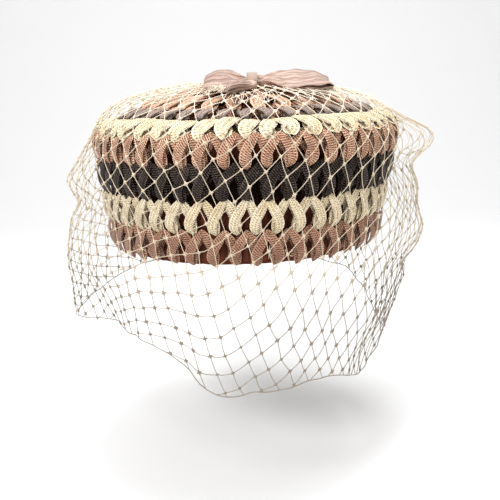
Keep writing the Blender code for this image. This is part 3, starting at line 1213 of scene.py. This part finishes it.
@dataclass
class NetVeil:
    """The knotted net veil: a flat strip of net gathered under the bow and draped.

    A place on the strip is how far along it and how far down from the gathered edge, in metres.
    """

    form: HatForm
    strip_length: float = 0.700
    strip_width: float = 0.250
    weft: Pair = (0.0088, -0.0070)
    warp: Pair = (0.0051, 0.0092)
    thread: float = 0.00046
    knot: float = 0.0019
    segments: int = 3
    gather_radius_share: float = 0.04
    gather_height_share: float = 1.044
    face_share: float = 0.47
    face_middle_share: float = 0.48
    face_sag: float = 0.034
    face_slant: float = 0.34
    slack: float = 0.15
    slack_from: float = 0.13
    slack_to: float = 0.18
    sag_starts: Pair = (-0.085, 0.060)
    sag_ends: Pair = (0.07, 0.22)
    sag_down: Pair = (0.12, 0.21)
    slant_ends: Pair = (-0.05, 0.06)
    slant_down: Pair = (0.12, 0.18)
    slant_level: float = 0.15
    loose_from: float = 0.45
    fold_depth: float = 0.010
    crease_depth: float = 0.005
    ends_from: float = 0.166
    ends_to: float = 0.196
    ends_reach: float = 0.10
    ends_share: float = 0.55
    bunch_middle: Triple = (-0.0115, -0.066, 0.0985)
    bunch_reach: Triple = (0.0085, 0.0035, 0.0012)
    bunch_curls: int = 34
    gathers: int = 125
    gathers_down: float = 0.082
    turns: int = 240
    levels: int = 72
    seed: int = 7

    def __post_init__(self) -> None:
        """Drape the surface and start the threads."""
        self.rng = random.Random(self.seed)
        self.surface = [self.drape(-180.0 + 360.0 * step / self.turns) for step in range(self.turns + 1)]
        up, ahead = Vector((0.0, 0.0, 1.0)), Vector((1.0, 0.0, 0.0))
        self.wires = Wires(outwards=up, heading=ahead, spread=1.0, knot=0.0)
        self.border: dict[str, list[Pair]] = {"hem": [], "left": [], "right": []}

    def line_at(self, turn: float) -> list[Pair]:
        """The veil's outline at one turn from the front.

        Args:
            turn: the turn, in degrees.

        Returns:
            Radius and height at each line from the gather to the hem.
        """
        turns = [row[0] for row in VEIL_FOLDS] + [360.0]
        index = max(i for i, value in enumerate(turns[:-1]) if value <= turn % 360.0)
        share = (turn % 360.0 - turns[index]) / (turns[index + 1] - turns[index])
        share = share * share * (3.0 - 2.0 * share)
        row = blend(VEIL_FOLDS[index][1:], VEIL_FOLDS[(index + 1) % len(VEIL_FOLDS)][1:], share)
        line = [(self.gather_radius_share, self.gather_height_share)]
        line.extend(zip(row[0::2], row[1::2]))
        line.insert(-1, blend(line[-2], line[-1], self.face_share))
        return [(r * self.form.crown_radius, z * self.form.crown_height) for r, z in line]

    def drape(self, turn: float) -> list[Vector]:
        """Puff, fold and crease the veil's outline at one turn from the front.

        Args:
            turn: the turn, in degrees.

        Returns:
            Points of the draped surface from the gather to the hem.
        """
        fine, runs = fine_line(self.line_at(turn), 12)
        angle = math.radians(turn - 90.0)
        x, y = math.cos(angle), math.sin(angle)
        row = []
        at = 0
        for level in range(self.levels + 1):
            want = runs[-1] * level / self.levels
            while at < len(runs) - 2 and runs[at + 1] < want:
                at += 1
            share = (want - runs[at]) / max(runs[at + 1] - runs[at], 1e-9)
            radius, height = blend(fine[at], fine[at + 1], min(share, 1.0))
            down = level / self.levels
            fold = noise.noise(Vector((x * 3.1, y * 3.1, down * 2.5)))
            crease = noise.noise(Vector((x * 9.0, y * 9.0, down * 4.0 + 7.0)))
            loose = max(0.0, down - self.loose_from)
            radius += self.fold_depth * fold * loose + self.crease_depth * crease * loose
            for side, spread, middle, tall, out in VEIL_PUFFS:
                away = (turn - side + 180.0) % 360.0 - 180.0
                radius += out * math.exp(-((away / spread) ** 2) - ((height - middle) / tall) ** 2)
            for side, spread, lift in HEM_LIFTS:
                away = (turn - side + 180.0) % 360.0 - 180.0
                height += lift * math.exp(-((away / spread) ** 2)) * down**4
            row.append(self.form.place(radius, height, angle))
        return row

    def at(self, along: float, down: float) -> Vector:
        """Look up a place on the draped surface.

        Args:
            along: how far along the strip, in metres.
            down: how far down from its gathered edge, in metres.

        Returns:
            The point.
        """
        x = min(max(along / self.strip_length, 0.0), 1.0) * self.turns
        y = min(max(down / self.strip_width, 0.0), 1.0) * self.levels
        i, j = min(int(x), self.turns - 1), min(int(y), self.levels - 1)
        first = self.surface[i][j].lerp(self.surface[i + 1][j], x - i)
        second = self.surface[i][j + 1].lerp(self.surface[i + 1][j + 1], x - i)
        return first.lerp(second, y - j)

    def hung(self, i: int, j: int) -> Pair:
        """Where a crossing lies once the net sags in front and is pulled.

        Args:
            i: the crossing's number along the weft.
            j: its number along the warp.

        Returns:
            Its place on the strip.
        """
        along, down = i * self.weft[0] + j * self.warp[0], i * self.weft[1] + j * self.warp[1]
        middle = self.strip_length * self.face_middle_share
        tight = 1.0 - self.slack * eased(down, self.slack_from, self.slack_to)
        along = middle + (along - middle) * tight
        down = self.slack_from + (down - self.slack_from) * tight
        started, ended, left_side = (
            eased(along, middle + low, middle + high)
            for low, high in (self.sag_starts, self.sag_ends, self.slant_ends)
        )
        slanted = self.face_slant * (down - self.slant_level) * eased(down, *self.slant_down)
        along -= slanted * (1.0 - left_side)
        down += self.face_sag * (started - ended) * eased(down, *self.sag_down)
        for along_a, down_a, along_b, down_b, pull_a, pull_b, reach in VEIL_PULLS:
            run = (along_b - along_a, down_b - down_a)
            size = run[0] ** 2 + run[1] ** 2
            share = ((along - along_a) * run[0] + (down - down_a) * run[1]) / size
            share = min(max(share, 0.0), 1.0)
            off = (along - along_a - share * run[0], down - down_a - share * run[1])
            pull = (pull_a + (pull_b - pull_a) * share) * math.exp(-(off[0] ** 2 + off[1] ** 2) / reach**2)
            along -= off[0] * pull
            down -= off[1] * pull
        return along, down

    def add_thread(self, start: Pair, end: Pair, spread: float = 1.0) -> None:
        """Lay a slightly bowed thread.

        Args:
            start: the place on the strip where it starts.
            end: the place where it ends.
            spread: its thickness as a share of the thread's.
        """
        bow = self.rng.uniform(-0.05, 0.05) * self.weft[0]
        points = []
        for k in range(self.segments + 1):
            t = k / self.segments
            x = start[0] + (end[0] - start[0]) * t
            y = start[1] + (end[1] - start[1]) * t
            swell = math.sin(math.pi * t) * bow
            points.append(self.at(x + swell, y + abs(swell)))
        self.wires.add(points, spread=spread)

    def clip(self, start: Pair, end: Pair) -> Pair:
        """Cut a thread that leaves the strip, and note where it meets the edge.

        Args:
            start: the place on the strip where it starts.
            end: the place beyond the edge.

        Returns:
            The place on the edge.
        """
        share = 1.0
        side = ""
        for value, move, limit, name in (
            (start[0], end[0] - start[0], 0.0, "left"),
            (start[0], end[0] - start[0], self.strip_length, "right"),
            (start[1], end[1] - start[1], 0.0, "top"),
            (start[1], end[1] - start[1], self.strip_width, "hem"),
        ):
            if move and 0.0 <= (limit - value) / move < share:
                share = (limit - value) / move
                side = name
        stop = (start[0] + (end[0] - start[0]) * share, start[1] + (end[1] - start[1]) * share)
        if side in self.border:
            self.border[side].append(stop)
        return stop

    def crossings(self) -> dict[tuple[int, int], Pair]:
        """The places of the net's crossings on the strip."""
        reach = int((self.strip_length + self.strip_width) / self.weft[0]) + 2
        jog = self.weft[0] * 0.12
        spots = {}
        for i in range(-reach, reach):
            for j in range(-reach, reach):
                along, down = self.hung(i, j)
                if 0.0 <= along <= self.strip_length and 0.0 <= down <= self.strip_width:
                    spots[(i, j)] = (along + self.rng.uniform(-jog, jog), down + self.rng.uniform(-jog, jog))
        return spots

    def tie(self, spot: Pair) -> None:
        """Tie a knot, with loose ends at some of those in front below the rim."""
        here = self.at(*spot)
        ahead = self.at(spot[0] + self.warp[0] * 0.2, spot[1] + self.warp[1] * 0.2) - here
        aside = self.at(spot[0] + self.weft[0] * 0.2, spot[1] + self.weft[1] * 0.2) - here
        outwards, heading = aside.cross(ahead).normalized() * -1.0, ahead.normalized()
        self.wires.add([here], outwards=outwards, heading=heading, knot=self.rng.uniform(0.85, 1.12))
        in_front = abs(spot[0] - self.strip_length / 2.0) < self.ends_reach
        if self.ends_from < spot[1] < self.ends_to and in_front and self.rng.random() < self.ends_share:
            for _ in range(4):
                turn = self.rng.uniform(0.0, math.tau)
                far = self.rng.uniform(0.0022, 0.0042)
                self.add_thread(spot, (spot[0] + far * math.cos(turn), spot[1] + far * math.sin(turn)), 0.75)

    def lay_net(self) -> None:
        """Lay the threads between the crossings and tie the knots."""
        spots = self.crossings()
        for (i, j), spot in spots.items():
            for step in ((1, 0), (0, 1), (-1, 0), (0, -1)):
                other = (i + step[0], j + step[1])
                if other not in spots:
                    self.add_thread(spot, self.clip(spot, self.hung(*other)))
                elif step[0] + step[1] > 0:
                    self.add_thread(spot, spots[other])
            self.tie(spot)

    def lay_gathers(self) -> None:
        """Lay the gathered threads that run out over the crown."""
        last = 11
        for _ in range(self.gathers):
            start = self.rng.uniform(0.0, self.strip_length)
            drift = self.rng.uniform(-0.012, 0.012)
            points = []
            for k in range(last + 1):
                down = 0.001 + self.gathers_down * k / last
                wave = 0.0030 * math.sin(k * 1.1 + start * 900.0)
                points.append(self.at(start + drift * k / last + wave, down) + Vector((0.0, 0.0, 0.0004)))
            self.wires.add(points, spread=0.7)

    def lay_bunch(self) -> None:
        """Lay the small bunch of loose net in front of the bow."""
        last = 6
        for _ in range(self.bunch_curls):
            middle = Vector(self.bunch_middle)
            middle += Vector([self.rng.gauss(0.0, 0.5) * reach for reach in self.bunch_reach])
            turn = self.rng.uniform(0.0, math.tau)
            bend = self.rng.uniform(2.0, 4.5)
            size = self.rng.uniform(0.0014, 0.0032)
            points = []
            for k in range(last + 1):
                swing = turn + bend * k / last
                curl = Vector((math.cos(swing) * size, math.sin(swing) * size * 0.7, 0.0004 * k))
                points.append(middle + curl)
            self.wires.add(points, spread=0.8)

    def lay_edges(self) -> None:
        """Lay the hem thread and the threads down the strip's two ends."""
        for name, axis, spread in (("hem", 0, 1.35), ("left", 1, 1.1), ("right", 1, 1.1)):
            stops = sorted(self.border[name], key=lambda stop: stop[axis])
            for start, end in zip(stops, stops[1:]):
                self.add_thread(start, end, spread)

    def make(self, tree: NetTree, material: bpy.types.Material) -> None:
        """Build the net's piece."""
        self.lay_net()
        self.lay_gathers()
        self.lay_bunch()
        self.lay_edges()
        values = {"Thread": self.thread, "Knot": self.knot, "Material": material}
        piece = tree.grow("net_veil", self.wires.guide("net_guide"), values)
        settle(piece, "veil_net", "veil")


@dataclass
class Studio:
    """Plain pale floor, soft lights and the camera at the photograph's angle."""

    floor_drop: float = 0.150
    floor_reach: float = 5.0
    sweep_start: float = 0.9
    sweep_radius: float = 0.7
    distance: float = 0.497
    height: float = 0.0992
    aside: float = 0.0031
    pitch: float = 12.4
    roll: float = 1.9
    focal_pixels: float = 733.0
    frame_pixels: float = 500.0
    sensor: float = 36.0
    world_strength: float = 0.45

    def floor(self, material: bpy.types.Material) -> None:
        """A wide pale floor well under the veil's hem, which sweeps up behind."""
        tool = bmesh.new()
        bmesh.ops.create_grid(tool, x_segments=8, y_segments=64, size=self.floor_reach)
        for vertex in tool.verts:
            beyond = max(0.0, vertex.co.y - self.sweep_start)
            turn = min(beyond / self.sweep_radius, math.pi / 2.0)
            straight = beyond - turn * self.sweep_radius
            if beyond:
                vertex.co.y = self.sweep_start + self.sweep_radius * math.sin(turn)
            vertex.co.z = -self.floor_drop + self.sweep_radius * (1.0 - math.cos(turn)) + straight
        mesh_piece("studio_floor", tool, material)

    def light(self, name: str, place: Triple, target: Triple, size: float, power: float) -> None:
        """Add a soft area light.

        Args:
            name: its name.
            place: where it stands.
            target: what it is aimed at.
            size: its width, in metres.
            power: its power, in watts.
        """
        lamp = bpy.data.lights.new(name, "AREA")
        lamp.shape = "DISK"
        lamp.size = size
        lamp.energy = power
        holder = add_object(name, lamp)
        holder.location = place
        aim = Vector(target) - Vector(place)
        holder.rotation_euler = aim.to_track_quat("-Z", "Y").to_euler()

    def camera(self) -> None:
        """The camera, pitched down and rolled as the photograph's is."""
        data = bpy.data.cameras.new("studio_camera")
        data.sensor_width = self.sensor
        data.lens = self.focal_pixels / self.frame_pixels * self.sensor
        data.clip_start = 0.01
        pitch, roll = math.radians(self.pitch), math.radians(self.roll)
        right = Vector((1.0, 0.0, 0.0))
        up = Vector((0.0, math.sin(pitch), math.cos(pitch)))
        back = Vector((0.0, -math.cos(pitch), math.sin(pitch)))
        turned_right = right * math.cos(roll) - up * math.sin(roll)
        turned_up = right * math.sin(roll) + up * math.cos(roll)
        matrix = Matrix((turned_right, turned_up, back)).transposed().to_4x4()
        matrix.translation = (self.aside, -self.distance, self.height)
        camera = add_object("studio_camera", data)
        camera.matrix_world = matrix
        bpy.context.scene.camera = camera

    def make(self) -> None:
        """Build the studio, with pale light from all round."""
        self.floor(FloorFinish().make())
        for lamp in LAMPS:
            self.light(*lamp)
        self.camera()
        world = bpy.data.worlds.new("studio")
        world.use_nodes = True
        shade = world.node_tree.nodes["Background"]
        shade.inputs[0].default_value = (1.0, 1.0, 1.0, 1.0)
        shade.inputs[1].default_value = self.world_strength
        bpy.context.scene.world = world
        bpy.context.scene.view_settings.view_transform = "Standard"


# the tan and brown rows take painted top light over the crown rings, and the tan's lowest row painted shade
RIBBONS: tuple[RibbonFinish, ...] = (
    RibbonFinish(
        BraidColour.TAN,
        body=(0.43, 0.205, 0.115),
        light=(0.95, 0.64, 0.45),
        shade=(0.15, 0.045, 0.020),
        crown=(0.92, 0.58, 0.40),
        crown_light_share=0.60,
        low_shade_share=0.48,
    ),
    RibbonFinish(
        BraidColour.IVORY,
        body=(0.79, 0.65, 0.42),
        light=(1.0, 0.93, 0.74),
        shade=(0.55, 0.36, 0.17),
        rib_light_contrast=0.30,
    ),
    RibbonFinish(
        BraidColour.BROWN,
        body=(0.009, 0.0045, 0.0035),
        light=(0.135, 0.098, 0.083),
        shade=(0.0015, 0.0007, 0.0005),
        roughness=0.40,
        gloss=0.16,
        crown=(0.44, 0.345, 0.30),
        crown_light_share=0.82,
    ),
)

ROWS: tuple[BraidRow, ...] = (
    BraidRow("side_row_tan_low", 0, 45, BraidColour.TAN, 1),
    BraidRow("side_row_ivory", 1, 47, BraidColour.IVORY, 2),
    BraidRow("side_row_brown", 2, 48, BraidColour.BROWN, 3, back=(0.44, 0.66, -0.12, 1.25)),
    BraidRow("side_row_tan_high", 3, 50, BraidColour.TAN, 4),
    BraidRow(
        "shoulder_row_ivory",
        4,
        48,
        BraidColour.IVORY,
        5,
        ribbon=0.0084,
        pinch=0.40,
        roll=34.0,
        front=(0.58, 0.06, 0.20, 1.0),
        back=(0.32, 0.66, -0.12, 0.62),
        uneven=0.34,
    ),
    BraidRow("crown_ring_brown", 5, 42, BraidColour.BROWN, 6),
    BraidRow("crown_ring_tan", 6, 29, BraidColour.TAN, 7, ribbon=0.0074, pinch=0.40),
    BraidRow("crown_inner_tan", 7, 19, BraidColour.TAN, 8, ribbon=0.0074, pinch=0.40),
    BraidRow("crown_centre", 8, 12, BraidColour.TAN, 9, ribbon=0.0046),
)


def main() -> None:
    """Build every piece in order."""
    logging.basicConfig(level=logging.INFO, format="%(name)s %(message)s")
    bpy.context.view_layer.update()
    form = HatForm.from_frame()
    ribbons = {finish.slot: finish.make() for finish in RIBBONS}
    ribbon_tree = RibbonTree()
    for row in ROWS:
        row.make(form, ribbon_tree, ribbons[row.colour])
    ClothCap().make(form, CapFinish().make())
    SatinBow().make(SatinFinish().make())
    NetVeil(form).make(NetTree(), NetFinish().make())
    Studio().make()


if __name__ == "__main__":
    main()
